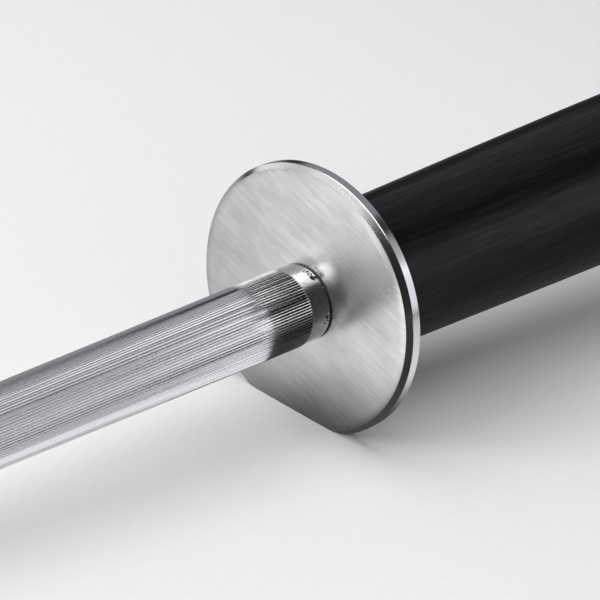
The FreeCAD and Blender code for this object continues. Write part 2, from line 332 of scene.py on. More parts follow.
def soften_edges(piece: bpy.types.Object, width: float, angle: float) -> None:
    """Rounds a piece's sharp edges a little, as deburring does.

    Args:
        piece: the piece.
        width: width of the rounding, in metres.
        angle: edges sharper than this many degrees are rounded.
    """
    bevel = piece.modifiers.new("deburred_edges", "BEVEL")
    bevel.width = width
    bevel.segments = 3
    bevel.limit_method = "ANGLE"
    bevel.angle_limit = math.radians(angle)
    bevel.harden_normals = True


# ---- Finishes ----

@dataclass(frozen=True)
class WorkedSteel:
    """Stainless or chromed steel with the marks of the tool that finished it."""

    name: str
    colour: str
    roughness: float
    grain: Grain = Grain.NONE
    drawn_out: float = 0.0
    mark_across: float = 0.15 * MM
    mark_along: float = 8.0 * MM
    mark_depth: float = 0.004 * MM
    roughness_spread: float = 0.08
    tone_spread: float = 0.06
    scuffed: float = 0.0
    scuffed_length: Span = (6 * MM, 48 * MM)
    # paints shade into the rod's grooves, as much as the layer says, in the colour below
    shaded_grooves: bool = False
    groove_shade_colour: str = "#161616"
    across_the_turning: float = 0.25            # in turns: the highlight is drawn out across the tool marks
    gauge_radius: float = 10 * MM               # radius at which lengths round the axis are true

    def material(self) -> bpy.types.Material:
        """Builds the finish.

        Returns:
            A metal whose highlight is drawn out across its tool marks.
        """
        material, tree, shader = new_material(self.name)
        shader.inputs["Metallic"].default_value = 1.0
        shader.inputs["Anisotropic"].default_value = self.drawn_out
        marks = self.marks(tree)
        tone = add_node(tree, "ShaderNodeValToRGB", links={"Fac": marks})
        set_ramp(tone, tone_stops(self.colour, self.tone_spread))
        low, high = self.roughness - self.roughness_spread, self.roughness + self.roughness_spread
        rough = add_node(tree, "ShaderNodeMapRange", values={**FROM_NOISE, "To Min": low, "To Max": high},
                         links={"Value": marks}).outputs["Result"]
        bump = add_node(tree, "ShaderNodeBump", values={"Strength": 1.0, "Distance": self.mark_depth},
                        links={"Height": marks})
        colour = tone.outputs["Color"]
        # painted shade in the grooves: the layer mixes the tone towards near black
        if self.shaded_grooves:
            groove_shade = add_node(tree, "ShaderNodeAttribute", {"attribute_name": GROOVE_SHADE_LAYER})
            colour = add_node(tree, "ShaderNodeMixRGB", values={"Color2": srgb(self.groove_shade_colour)}, links={
                "Fac": groove_shade.outputs["Fac"], "Color1": colour}).outputs["Color"]
        if self.scuffed:
            rough = self.scuff(tree, rough)
        if self.grain is Grain.TURNED:
            around = add_node(tree, "ShaderNodeTangent", {"direction_type": "RADIAL", "axis": "X"})
            feed(tree, shader, {"Tangent": around.outputs["Tangent"]})
            shader.inputs["Anisotropic Rotation"].default_value = self.across_the_turning
        feed(tree, shader, {"Base Color": colour, "Roughness": rough, "Normal": bump.outputs["Normal"]})
        return material

    def scuff(self, tree: bpy.types.NodeTree, rough: bpy.types.NodeSocket) -> bpy.types.NodeSocket:
        """Dulls the length that blades are drawn over; the few millimetres next to the guard stay bright.

        Args:
            tree: the material's node tree.
            rough: the untouched surface's roughness.

        Returns:
            The roughness along the rod.
        """
        place = add_node(tree, "ShaderNodeTexCoord").outputs["Object"]
        axes = add_node(tree, "ShaderNodeSeparateXYZ", links={"Vector": place})
        used = add_node(tree, "ShaderNodeMapRange", {"interpolation_type": "SMOOTHSTEP"}, {
            "From Min": self.scuffed_length[0], "From Max": self.scuffed_length[1], "To Max": self.scuffed},
            {"Value": axes.outputs["X"]})
        return add_node(tree, "ShaderNodeMath", links={0: rough, 1: used.outputs["Result"]}).outputs["Value"]

    def marks(self, tree: bpy.types.NodeTree) -> bpy.types.NodeSocket:
        """Noise that is drawn out along the tool's path.

        Args:
            tree: the material's node tree.

        Returns:
            The noise's value.
        """
        across, along = 1 / self.mark_across, 1 / self.mark_along
        if self.grain is Grain.TURNED:
            return drawn_out_noise(tree, self.turned_place(tree), (across, across, along))
        place = add_node(tree, "ShaderNodeTexCoord").outputs["Object"]
        return drawn_out_noise(tree, place, (across, across, across))

    def turned_place(self, tree: bpy.types.NodeTree) -> bpy.types.NodeSocket:
        """Place on a turned surface: along the axis, out from it, and round it.

        Args:
            tree: the material's node tree.

        Returns:
            A vector socket of (x, radius, length round the axis).
        """
        place = add_node(tree, "ShaderNodeTexCoord").outputs["Object"]
        axes = add_node(tree, "ShaderNodeSeparateXYZ", links={"Vector": place})
        across = add_node(tree, "ShaderNodeCombineXYZ",
                          links={"X": axes.outputs["Y"], "Y": axes.outputs["Z"]})
        radius = add_node(tree, "ShaderNodeVectorMath", {"operation": "LENGTH"},
                          links={0: across.outputs["Vector"]})
        angle = add_node(tree, "ShaderNodeMath", {"operation": "ARCTAN2"},
                         links={0: axes.outputs["Z"], 1: axes.outputs["Y"]})
        length = add_node(tree, "ShaderNodeMath", {"operation": "MULTIPLY"}, {1: self.gauge_radius},
                          {0: angle.outputs["Value"]})
        return add_node(tree, "ShaderNodeCombineXYZ", links={
            "X": axes.outputs["X"], "Y": radius.outputs["Value"],
            "Z": length.outputs["Value"]}).outputs["Vector"]


@dataclass(frozen=True)
class BrushedPlate:
    """Stainless plate brushed one way by hand: a drawn-out shine, cloudy patches and a few scratches."""

    name: str = "stainless_steel_straight_brushed"
    colour: str = "#e7e6e7"
    roughness: float = 0.30
    roughness_spread: float = 0.03
    drawn_out: float = 0.72
    line_across: float = 0.20 * MM      # real lines are under 0.05 mm apart: drawn coarser so that they show
    line_along: float = 11.0 * MM
    line_tone: Span = (0.80, 1.08)
    cloud_across: float = 6.0 * MM
    cloud_along: float = 9.6 * MM
    cloud_span: Span = (0.30, 0.68)
    cloud_tone: tuple[float, float, float] = (0.76, 0.76, 0.77)
    scratch_across: float = 0.24 * MM
    scratch_along: float = 9.0 * MM
    scratch_span: Span = (0.58, 0.70)
    scratch_detail: float = 1.0
    scratch_colour: str = "#f9f9f9"
    scratch_share: float = 0.28
    depth: float = 0.0026 * MM

    def material(self) -> bpy.types.Material:
        """Builds the finish.

        Returns:
            The plate's material.
        """
        material, tree, shader = new_material(self.name)
        shader.inputs["Metallic"].default_value = 1.0
        shader.inputs["Anisotropic"].default_value = self.drawn_out
        place = add_node(tree, "ShaderNodeUVMap", {"uv_map": ACROSS_GRAIN}).outputs["UV"]
        lines = drawn_out_noise(tree, place, (1 / self.line_across, 1 / self.line_along, 1.0))
        clouds = drawn_out_noise(tree, place, (1 / self.cloud_across, 1 / self.cloud_along, 1.0))
        deep = drawn_out_noise(tree, place, (1 / self.scratch_across, 1 / self.scratch_along, 1.0),
                               self.scratch_detail)
        scratches = add_node(tree, "ShaderNodeMapRange", values={
            "From Min": self.scratch_span[0], "From Max": self.scratch_span[1]}, links={"Value": deep})
        bright = srgb(self.colour)
        dim = tuple(part * share for part, share in zip(bright, self.cloud_tone))
        cloudy = add_node(tree, "ShaderNodeValToRGB", links={"Fac": clouds})
        set_ramp(cloudy, [(self.cloud_span[0], (*dim, 1)), (self.cloud_span[1], bright)])
        lined = add_node(tree, "ShaderNodeMapRange", values={
            **FROM_NOISE, "To Min": self.line_tone[0], "To Max": self.line_tone[1]}, links={"Value": lines})
        grained = add_node(tree, "ShaderNodeMixRGB", {"blend_type": "MULTIPLY"}, {"Fac": 1.0},
                           {"Color1": cloudy.outputs["Color"], "Color2": lined.outputs["Result"]})
        glint = add_node(tree, "ShaderNodeMath", {"operation": "MULTIPLY"}, {1: self.scratch_share},
                         {0: scratches.outputs["Result"]})
        tone = add_node(tree, "ShaderNodeMixRGB", values={"Color2": srgb(self.scratch_colour)},
                        links={"Fac": glint.outputs["Value"], "Color1": grained.outputs["Color"]})
        dull, keen = self.roughness + self.roughness_spread, self.roughness - self.roughness_spread
        rough = add_node(tree, "ShaderNodeMapRange", values={**FROM_NOISE, "To Min": dull, "To Max": keen},
                         links={"Value": clouds})
        height = add_node(tree, "ShaderNodeMath", {"operation": "SUBTRACT"},
                          links={0: lines, 1: scratches.outputs["Result"]})
        bump = add_node(tree, "ShaderNodeBump", values={"Strength": 1.0, "Distance": self.depth},
                        links={"Height": height.outputs["Value"]})
        across = add_node(tree, "ShaderNodeTangent", {"direction_type": "UV_MAP", "uv_map": ACROSS_GRAIN})
        feed(tree, shader, {"Base Color": tone.outputs["Color"], "Roughness": rough.outputs["Result"],
                            "Normal": bump.outputs["Normal"], "Tangent": across.outputs["Tangent"]})
        return material


@dataclass(frozen=True)
class StainedWood:
    """Dense wood, stained black through, oiled and buffed: a soft gloss with fine pores along the grip."""

    name: str = "beech_stained_black_and_oiled"
    dark: str = "#040404"
    light: str = "#1a1a1c"
    tone_span: Span = (0.42, 0.72)
    ior: float = 1.42
    specular_level: float = 0.24
    roughness: float = 0.30
    dull_by: float = 0.08
    glossy_by: float = 0.06
    pore_across: float = 0.60 * MM      # real pores are nearer 0.1 mm: drawn coarser so that they show
    pore_along: float = 22.0 * MM
    pore_depth: float = 0.03 * MM
    pore_strength: float = 0.6
    pore_detail: float = 4.0
    pore_detail_share: float = 0.65

    def material(self) -> bpy.types.Material:
        """Builds the finish.

        Returns:
            The wood's material.
        """
        material, tree, shader = new_material(self.name)
        shader.inputs["IOR"].default_value = self.ior
        shader.inputs["Specular IOR Level"].default_value = self.specular_level
        place = add_node(tree, "ShaderNodeTexCoord").outputs["Object"]
        scale = (1 / self.pore_along, 1 / self.pore_across, 1 / self.pore_across)
        pores = drawn_out_noise(tree, place, scale, self.pore_detail, self.pore_detail_share)
        tone = add_node(tree, "ShaderNodeValToRGB", links={"Fac": pores})
        set_ramp(tone, [(self.tone_span[0], srgb(self.dark)), (self.tone_span[1], srgb(self.light))])
        dull, glossy = self.roughness + self.dull_by, self.roughness - self.glossy_by
        rough = add_node(tree, "ShaderNodeMapRange", values={**FROM_NOISE, "To Min": dull, "To Max": glossy},
                         links={"Value": pores})
        bump = add_node(tree, "ShaderNodeBump", values={"Strength": self.pore_strength,
                                                       "Distance": self.pore_depth}, links={"Height": pores})
        feed(tree, shader, {"Base Color": tone.outputs["Color"], "Roughness": rough.outputs["Result"],
                            "Normal": bump.outputs["Normal"]})
        return material


@dataclass(frozen=True)
class PlainSurface:
    """Moulded rubber, turned brass or coated board: one tone with a fine mottle."""

    name: str
    colour: str
    roughness: float
    metallic: float = 0.0
    mottle_size: float = 0.4 * MM
    mottle_depth: float = 0.01 * MM
    mottle_strength: float = 0.5
    mottle_detail: float = 3.0
    tone_spread: float = 0.08

    def material(self) -> bpy.types.Material:
        """Builds the finish.

        Returns:
            The surface's material.
        """
        material, tree, shader = new_material(self.name)
        shader.inputs["Metallic"].default_value = self.metallic
        shader.inputs["Roughness"].default_value = self.roughness
        place = add_node(tree, "ShaderNodeTexCoord").outputs["Object"]
        mottle = add_node(tree, "ShaderNodeTexNoise", values={
            "Scale": 1 / self.mottle_size, "Detail": self.mottle_detail}, links={"Vector": place})
        tone = add_node(tree, "ShaderNodeValToRGB", links={"Fac": mottle.outputs["Fac"]})
        set_ramp(tone, tone_stops(self.colour, self.tone_spread))
        bump = add_node(tree, "ShaderNodeBump", values={
            "Strength": self.mottle_strength, "Distance": self.mottle_depth},
            links={"Height": mottle.outputs["Fac"]})
        feed(tree, shader, {"Base Color": tone.outputs["Color"], "Normal": bump.outputs["Normal"]})
        return material


@dataclass(frozen=True)
class TableTop:
    """Matt coated board that melts into the pale backdrop well away from the steel."""

    board: PlainSurface
    fade: Span = (0.26, 0.80)

    def material(self) -> bpy.types.Material:
        """Builds the finish.

        Returns:
            The board's material, clear past the fade.
        """
        material = self.board.material()
        tree = material.node_tree
        shader = next(node for node in tree.nodes if node.type == "BSDF_PRINCIPLED")
        output = next(node for node in tree.nodes if node.type == "OUTPUT_MATERIAL")
        place = add_node(tree, "ShaderNodeTexCoord").outputs["Object"]
        reach = add_node(tree, "ShaderNodeVectorMath", {"operation": "LENGTH"}, links={0: place})
        gone = add_node(tree, "ShaderNodeMapRange", {"interpolation_type": "SMOOTHSTEP"}, {
            "From Min": self.fade[0], "From Max": self.fade[1]}, {"Value": reach.outputs["Value"]})
        clear = add_node(tree, "ShaderNodeBsdfTransparent")
        blend = add_node(tree, "ShaderNodeMixShader", links={
            0: gone.outputs["Result"], 1: shader.outputs["BSDF"], 2: clear.outputs["BSDF"]})
        feed(tree, output, {"Surface": blend.outputs["Shader"]})
        return material


@dataclass(frozen=True)
class PaintedTableReflection:
    """Painted reflection of the table in the metal: a glowing sheet that only the metal sees stands in for
    the board's satin sheen, bright where the windows would be mirrored and dim in between, with a painted
    shadow round the guard.
    """

    name: str = "painted_table_reflection_glow"
    strength: float = 0.7
    painted_shadow_reach: Span = (8 * MM, 34 * MM)          # painted shadow of the steel round the guard
    far: Span = (300 * MM, 900 * MM)        # the painted reflection fades towards the room's dark end
    # brightness of the painted shadow round the guard
    painted_shadow_level: float = 0.08
    turns: tuple[Point, ...] = (            # degrees round the guard from +X, and brightness of the painted reflection there
        (0, 1.9), (9, 1.7), (24, 1.3), (45, 0.05), (75, 0.05), (100, 1.4), (122, 1.6), (144, 0.45),
        (205, 0.08), (240, 0.6), (290, 0.75), (325, 1.5), (350, 1.9))

    def material(self) -> bpy.types.Material:
        """Builds the painted reflection and the painted shadow as light that only the metal sees.

        Returns:
            An emission material that depends on the direction and distance from the guard.
        """
        material = bpy.data.materials.new(self.name)
        material.use_nodes = True
        material.cycles.emission_sampling = "NONE"
        tree = material.node_tree
        tree.nodes.clear()
        place = add_node(tree, "ShaderNodeTexCoord").outputs["Object"]
        axes = add_node(tree, "ShaderNodeSeparateXYZ", links={"Vector": place})
        angle = add_node(tree, "ShaderNodeMath", {"operation": "ARCTAN2"},
                         links={0: axes.outputs["Y"], 1: axes.outputs["X"]})
        share = add_node(tree, "ShaderNodeMath", {"operation": "DIVIDE"}, {1: FULL_TURN},
                         {0: angle.outputs["Value"]})
        turn = add_node(tree, "ShaderNodeMath", {"operation": "WRAP"}, {1: 1.0, 2: 0.0},
                        {0: share.outputs["Value"]})
        around = add_node(tree, "ShaderNodeValToRGB", links={"Fac": turn.outputs["Value"]})
        top = max(level for _, level in self.turns)
        stops = [(degrees / 360, grey(level / top)) for degrees, level in self.turns]
        set_ramp(around, stops + [(1.0, stops[0][1])])
        reach = add_node(tree, "ShaderNodeVectorMath", {"operation": "LENGTH"}, links={0: place})
        clear = add_node(tree, "ShaderNodeMapRange", {"interpolation_type": "SMOOTHSTEP"}, {
            "From Min": self.painted_shadow_reach[0], "From Max": self.painted_shadow_reach[1]}, {"Value": reach.outputs["Value"]})
        # painted shadow round the guard, giving way to the painted reflection further out
        painted_shadow_colour = grey(self.painted_shadow_level / (top * self.strength))
        level = add_node(tree, "ShaderNodeMixRGB", values={"Color1": painted_shadow_colour}, links={
            "Fac": clear.outputs["Result"], "Color2": around.outputs["Color"]})
        fade = add_node(tree, "ShaderNodeMapRange", {"interpolation_type": "SMOOTHSTEP"}, {
            "From Min": self.far[0], "From Max": self.far[1], "To Min": top * self.strength, "To Max": 0.0},
            {"Value": reach.outputs["Value"]})
        # the sheet glows with the painted reflection, though it is no lamp
        painted_glow = add_node(tree, "ShaderNodeEmission", links={"Color": level.outputs["Color"],
                                                            "Strength": fade.outputs["Result"]})
        add_node(tree, "ShaderNodeOutputMaterial", links={"Surface": painted_glow.outputs["Emission"]})
        return material


# ---- Sub-assemblies ----

@dataclass
class RibbedRod:
    """The steel itself: tapered rod with fine ribs, smooth collar, and the tang inside the grip."""

    ribs: bpy.types.Material
    smooth: bpy.types.Material
    grime: bpy.types.Material
    rib_count: int = 90
    rib_profile: tuple[Point, ...] = (      # share of the way to the next rib, and height there
        (0.0, 1.0), (0.08, 0.95), (0.38, 0.08), (0.5, 0.0), (0.62, 0.08), (0.92, 0.95))
    shallowest: float = 0.8                 # depth of the shallowest groove, as a share of the full depth
    rib_end: float = 0.03 * MM
    collar_radius: float = 6.33 * MM
    collar_length: float = 4.4 * MM
    seam_width: float = 0.40 * MM
    seam_depth: float = 0.40 * MM
    seam_floor: float = 0.8                 # share of the seam's width that is at its full depth
    seam_lip: float = 0.04 * MM
    tip_radius: float = 4.65 * MM
    tip_step: int = 9                       # degrees between two rings of the rounded tip
    tang_root_radius: float = 4.5 * MM
    tang_root_flat: float = 3.5 * MM
    tang_root_length: float = 11.0 * MM
    tang_radius: float = 3.5 * MM
    thread_radius: float = 3.0 * MM
    thread_length: float = 10.8 * MM
    thread_chamfer: float = 0.6 * MM
    wear: float = 0.03 * MM
    wear_length: float = 35 * MM
    steady_wear: float = 0.6                # share of the wear that is the same all along a rib
    body_steps: int = 24
    # how far along the rod the painted shade in the grooves reaches, in metres
    groove_shade_reach: Span = (11.0 * MM, 18.0 * MM)
    groove_shade_steps: int = 8
    collar_steps: int = 36
    collar_crowding: float = 1.5            # the collar's rings lie closer together near the pits
    pits: tuple[tuple[float, float, float], ...] = (    # mm from the guard, degrees round, radius in mm
        (1.40, 82.0, 0.26), (0.95, 79.0, 0.32), (1.25, 74.0, 0.28), (0.75, 72.0, 0.26), (1.12, 66.5, 0.58),
        (0.65, 64.0, 0.34), (0.55, 49.0, 0.22), (0.80, 10.0, 0.28), (1.10, 4.0, 0.34), (0.75, -2.0, 0.26),
        (1.30, -5.0, 0.24))
    pit_depth: float = 0.26 * MM
    dark_share: float = 0.75
    seed: int = 11
    low: Vector = field(default_factory=lambda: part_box("sharpening_rod")[0])
    high: Vector = field(default_factory=lambda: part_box("sharpening_rod")[1])

    @property
    def dome_x(self) -> float:
        """Where the rounded tip begins."""
        return self.high.x - self.tip_radius

    def crest(self, x: float) -> float:
        """Radius over the ribs where nothing rounds them off, at a place along the rod."""
        share = (x - self.collar_length) / (self.dome_x - self.collar_length)
        return self.high.y + (self.tip_radius - self.high.y) * share

    def dome(self, x: float) -> float:
        """Largest radius that the rounded tip leaves at a place along the rod."""
        return math.sqrt(max(0.0, self.tip_radius ** 2 - max(0.0, x - self.dome_x) ** 2))

    def ribbed_ring(self, x: float, wear: list[float], depth: list[float]) -> list[Vector]:
        """One ring of the ribbed length.

        Args:
            x: place along the rod.
            wear: how much each rib's crest has been worn down, in metres.
            depth: depth of each groove as a share of the full depth.

        Returns:
            The ring's points.
        """
        crest = self.crest(x)
        limit = self.dome(x) if x > self.dome_x else crest
        full_depth = crest * (1 - self.collar_radius / self.high.y)
        points = []
        for rib in range(self.rib_count):
            for phase, height in self.rib_profile:
                angle = FULL_TURN * (rib + phase) / self.rib_count
                radius = min(limit, crest - (1 - height) * full_depth * depth[rib] - height * wear[rib])
                points.append(Vector((x, radius * math.cos(angle), radius * math.sin(angle))))
        return points

    def round_ring(self, x: float, radius: float, flat: float = 1.0) -> list[Vector]:
        """One ring of a smooth length.

        Args:
            x: place along the rod.
            radius: the ring's radius.
            flat: distance from the axis to two flats, which show where it is under the radius.

        Returns:
            As many points as a ribbed ring has.
        """
        ring = circle_about_x(x, radius, self.rib_count * len(self.rib_profile))
        return [Vector((p.x, p.y, max(-flat, min(flat, p.z)))) for p in ring]

    def pit_centres(self) -> list[tuple[Vector, float]]:
        """Finds the pits on the collar.

        Returns:
            The centre and the radius of each pit, in metres.
        """
        centres = []
        for place, degrees, size in self.pits:
            turn = math.radians(degrees)
            y, z = self.collar_radius * math.cos(turn), self.collar_radius * math.sin(turn)
            centres.append((Vector((place * MM, y, z)), size * MM))
        return centres

    def collar_ring(self, x: float) -> list[Vector]:
        """One ring of the collar, with the small pits left where the guard was staked to it.

        Args:
            x: place along the rod.

        Returns:
            The ring's points.
        """
        ring = self.round_ring(x, self.collar_radius)
        for centre, size in self.pit_centres():
            for point in ring:
                reach = (point - centre).length / size
                if reach < 1:
                    sunk = 1 - self.pit_depth * (1 - reach ** 2) / self.collar_radius
                    point.y *= sunk
                    point.z *= sunk
        return ring

    def darken_pits(self, mesh: bmesh.types.BMesh) -> None:
        """Gives the bottoms of the pits the near-black finish of the seam.

        Args:
            mesh: the rod's bmesh, with its slots set.
        """
        collar = [face for face in mesh.faces if face.material_index == RodSlot.SMOOTH]
        for centre, size in self.pit_centres():
            for face in collar:
                if (face.calc_center_median() - centre).length < self.dark_share * size:
                    face.material_index = RodSlot.GRIME

    def darken_grooves(self, rings: list[list[bmesh.types.BMVert]], reach: list[float],
                       groove_shade: bmesh.types.BMLayerItem) -> None:
        """Paints shade into the grooves next to the collar: darkest at the groove bottoms, fading along the
        rod.

        Args:
            rings: the vertices of the ribbed rings.
            reach: how far along the rod each groove stays dark, in metres.
            groove_shade: the layer that holds how much painted shade each vertex gets, from 0 to 1.
        """
        for ring in rings:
            for i, vert in enumerate(ring):
                rib, step = divmod(i, len(self.rib_profile))
                share = (vert.co.x - self.collar_length) / (reach[rib] - self.collar_length)
                vert[groove_shade] = (1 - self.rib_profile[step][1]) * max(0.0, 1 - share ** 2)

    def tang_rings(self) -> list[list[Vector]]:
        """Shapes the tang, from its threaded end to the guard's front face.

        Returns:
            The points of each ring.
        """
        thread_x = self.low.x + self.thread_length
        return [
            self.round_ring(self.low.x, self.thread_radius - self.thread_chamfer),
            self.round_ring(self.low.x + self.thread_chamfer, self.thread_radius),
            self.round_ring(thread_x, self.thread_radius),
            self.round_ring(thread_x, self.tang_radius),
            self.round_ring(-self.tang_root_length, self.tang_radius),
            self.round_ring(-self.tang_root_length, self.tang_root_radius, self.tang_root_flat),
            self.round_ring(0.0, self.tang_root_radius, self.tang_root_flat),
        ]

    def collar_rings(self) -> list[list[Vector]]:
        """Shapes the collar, from the dark seam beside the guard to the ribs.

        Returns:
            The points of each ring: three of the seam, then the collar's own.
        """
        floor = self.collar_radius - self.seam_depth
        rings = [self.round_ring(0.0, floor), self.round_ring(self.seam_width * self.seam_floor, floor),
                 self.round_ring(self.seam_width, self.collar_radius - self.seam_lip)]
        length = self.collar_length - self.seam_width
        for step in range(1, self.collar_steps + 1):
            share = (step / self.collar_steps) ** self.collar_crowding
            rings.append(self.collar_ring(self.seam_width + length * share))
        return rings

    def ribbed_places(self) -> list[float]:
        """Spreads the ribbed rings, closer together next to the collar and on the tip.

        Returns:
            The place of each ring along the rod.
        """
        groove_shade_length = self.groove_shade_reach[1] - self.collar_length
        body_length = self.dome_x - self.groove_shade_reach[1]
        places = [self.collar_length + self.rib_end]
        places += [self.collar_length + groove_shade_length * i / self.groove_shade_steps
                   for i in range(1, self.groove_shade_steps)]
        places += [self.groove_shade_reach[1] + body_length * i / self.body_steps for i in range(self.body_steps + 1)]
        places += [self.dome_x + self.tip_radius * math.sin(math.radians(turn))
                   for turn in range(self.tip_step, 90, self.tip_step)]
        return places

    def build(self) -> bpy.types.Object:
        """Builds the rod, its collar and its tang as one mesh.

        Returns:
            The rod.
        """
        draw = random.Random(self.seed)
        wear = [draw.uniform(0, self.wear) for _ in range(self.rib_count)]
        depth = [draw.uniform(self.shallowest, 1.0) for _ in range(self.rib_count)]
        phase = [draw.uniform(0, FULL_TURN) for _ in range(self.rib_count)]
        groove_shade_reach = [draw.uniform(*self.groove_shade_reach) for _ in range(self.rib_count)]
        tang, collar, places = self.tang_rings(), self.collar_rings(), self.ribbed_places()
        ribbed = []
        for x in places:
            worn = [w * (self.steady_wear + (1 - self.steady_wear) * math.sin(x / self.wear_length + p))
                    for w, p in zip(wear, phase)]
            ribbed.append(self.ribbed_ring(x, worn, depth))
        seam_rings = len(collar) - self.collar_steps
        slots = [RodSlot.SMOOTH] * (len(tang) - 1) + [RodSlot.GRIME] * seam_rings
        slots += [RodSlot.SMOOTH] * self.collar_steps + [RodSlot.RIBS] * len(ribbed)
        mesh = bmesh.new()
        # layer for the painted shade in the grooves next to the collar
        groove_shade = mesh.verts.layers.float.new(GROOVE_SHADE_LAYER)
        made = stack_rings(mesh, tang + collar + ribbed, slots, close_end=False)
        last = made[-1]
        self.darken_pits(mesh)
        # paints shade into the grooves next to the collar
        self.darken_grooves(made[-len(ribbed):], groove_shade_reach, groove_shade)
        tip = mesh.verts.new((self.high.x, 0, 0))
        for i, vert in enumerate(last):
            mesh.faces.new((vert, last[(i + 1) % len(last)], tip))
        piece = object_from_bmesh("ribbed_rod", mesh, [self.ribs, self.smooth, self.grime], smooth_angle=22.0)
        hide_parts("sharpening_rod")
        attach(piece, Body.STEEL.value)
        LOG.info("ribbed_rod: %d ribs, %.0f mm in front of the guard", self.rib_count, self.high.x / MM)
        return piece


@dataclass
class Guard:
    """Disc between the rod and the grip, with a flat on its rim and a bevelled front edge."""

    face: bpy.types.Material
    rim: bpy.types.Material
    bevel_x: float = 1.05 * MM
    bevel_r: float = 0.90 * MM
    bevel_profile: tuple[Point, ...] = ((0.16, 0.08), (0.94, 0.95), (1.05, 1.0))    # shares of both above
    back_edge: float = 0.15 * MM
    edge_rounding: float = 0.10 * MM
    bore_radius: float = 4.55 * MM
    face_ring: float = 0.5      # one more ring on the face and one on the back, so that no band is too wide
    back_ring: float = 0.55
    worn_edge: tuple[Point, ...] = (            # mm inside the bevel, mm under the face
        (1.30, 0.0), (0.85, 0.012), (0.45, 0.045), (0.12, 0.11))
    grain_angle: float = -17.0
    points: int = 288
    low: Vector = field(default_factory=lambda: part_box("guard_disc")[0])
    high: Vector = field(default_factory=lambda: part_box("guard_disc")[1])

    def outline(self) -> tuple[list[Point], list[int]]:
        """Section of the disc and the finish of each band.

        Returns:
            (x, radius) points from the bore over the face and the rim to the back, and a slot for each band.
        """
        radius, back = self.high.y, self.low.x
        face_edge = radius - self.bevel_r
        face = [(0.0, self.bore_radius), (0.0, face_edge * self.face_ring)]
        face += [(-down * MM, face_edge - inside * MM) for inside, down in self.worn_edge]
        bevel = [(-self.bevel_x * deep, face_edge + self.bevel_r * out) for deep, out in self.bevel_profile]
        rear = [(back + self.back_edge, radius), (back, radius - self.back_edge),
                (back, radius * self.back_ring), (back, self.bore_radius)]
        slots = [GuardSlot.FACE] * len(face) + [GuardSlot.RIM] * (len(bevel) + 1)
        return face + bevel + rear, slots + [GuardSlot.FACE] * (len(rear) - 1)

    def build(self) -> bpy.types.Object:
        """Builds the disc.

        Returns:
            The guard, with its flat cut and its edges softened.
        """
        points, slots = self.outline()
        mesh = bmesh.new()
        turned(mesh, points, self.points, slots)
        everything = mesh.verts[:] + mesh.edges[:] + mesh.faces[:]
        cut = bmesh.ops.bisect_plane(mesh, geom=everything, dist=TINY, plane_co=(0, 0, self.low.z),
                                     plane_no=(0, 0, -1), clear_outer=True)
        rim_edges = [item for item in cut["geom_cut"] if isinstance(item, bmesh.types.BMEdge)]
        for new_face in bmesh.ops.edgeloop_fill(mesh, edges=rim_edges)["faces"]:
            new_face.material_index = GuardSlot.RIM
        self.lay_grain(mesh)
        piece = object_from_bmesh("guard", mesh, [self.face, self.rim], smooth_angle=14.0)
        soften_edges(piece, self.edge_rounding, angle=40.0)
        even = piece.modifiers.new("even_shading", "WEIGHTED_NORMAL")
        even.keep_sharp = True
        even.weight = 100
        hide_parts("guard_disc")
        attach(piece, Body.STEEL.value)
        LOG.info("guard: %.1f mm across, %.1f mm thick", 2 * self.high.y / MM, -self.low.x / MM)
        return piece

    def lay_grain(self, mesh: bmesh.types.BMesh) -> None:
        """Lays a map over the disc whose first axis runs across the brushing, in metres.

        Args:
            mesh: the disc's bmesh.
        """
        layer = mesh.loops.layers.uv.new(ACROSS_GRAIN)
        turn = math.radians(self.grain_angle)
        along = Vector((0, math.cos(turn), math.sin(turn)))
        across = Vector((0, -math.sin(turn), math.cos(turn)))
        for mesh_face in mesh.faces:
            for loop in mesh_face.loops:
                loop[layer].uv = (loop.vert.co.dot(across), loop.vert.co.dot(along))


